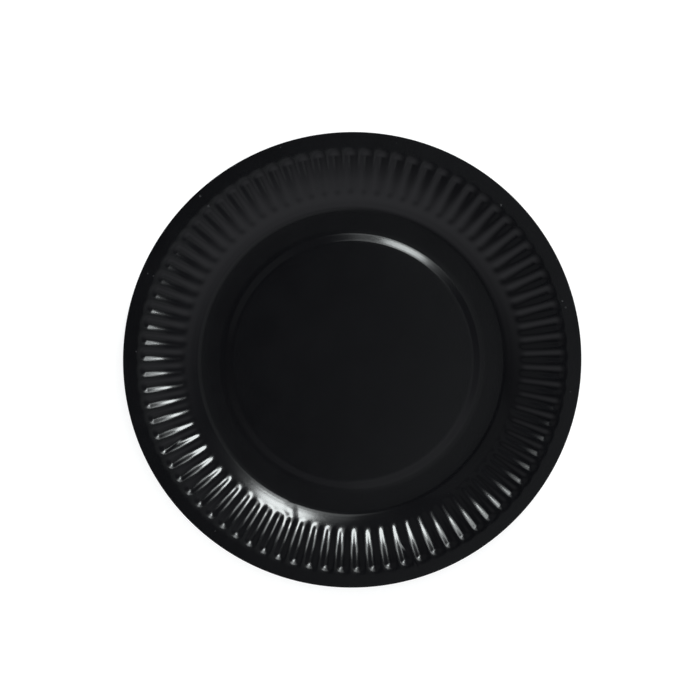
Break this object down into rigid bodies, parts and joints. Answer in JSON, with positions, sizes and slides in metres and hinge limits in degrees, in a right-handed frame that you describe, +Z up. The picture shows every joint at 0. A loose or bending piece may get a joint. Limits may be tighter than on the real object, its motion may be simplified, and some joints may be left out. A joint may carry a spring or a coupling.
{
  "type": "paper plate",
  "caption": "Round disposable paper plate pressed from one sheet of black coated board, with a flat centre, a fluted sloping wall and a narrow plain rim.",
  "frame": {"origin": "centre of the plate on the plane of the foot ring's underside, where it meets the table", "axes": "+Z up along the plate's axis of symmetry, out of the open side; the first flute lies 1 degree from +X towards +Y"},
  "size_m": [0.23, 0.23, 0.015],
  "materials": {
    "board": "gloss-coated board, black"
  },
  "bodies": {
    "root": {"plate": "board"}
  },
  "joints": []
}
